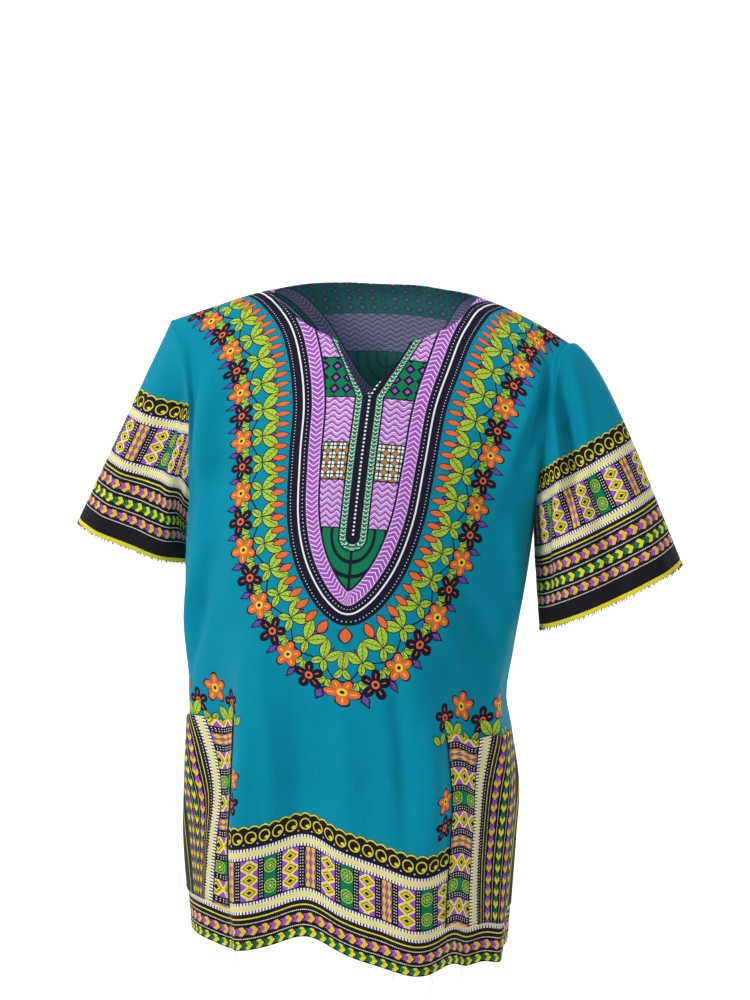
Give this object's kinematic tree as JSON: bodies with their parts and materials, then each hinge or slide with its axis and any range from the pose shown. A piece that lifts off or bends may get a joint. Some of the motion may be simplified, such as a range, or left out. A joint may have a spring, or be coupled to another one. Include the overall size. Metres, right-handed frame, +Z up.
{
  "type": "dashiki shirt",
  "caption": "Short-sleeved teal dashiki shirt with printed borders, a round slit neck and side patch pockets, hanging as worn.",
  "frame": {"origin": "midway between the two neck points of the shoulder fold, where the wearer's shoulders hold the shirt", "axes": "+Z up, front of the shirt towards -Y, wearer's left arm towards +X"},
  "size_m": [0.661, 0.2629, 0.7171],
  "materials": {
    "printed_cotton_teal": "matte",
    "printed_cotton_border": "matte"
  },
  "bodies": {
    "root": {"front": "printed_cotton_teal", "back": "printed_cotton_teal", "sleeve_left": "printed_cotton_teal", "sleeve_right": "printed_cotton_teal", "pocket_left": "printed_cotton_border", "pocket_right": "printed_cotton_border"}
  },
  "joints": []
}
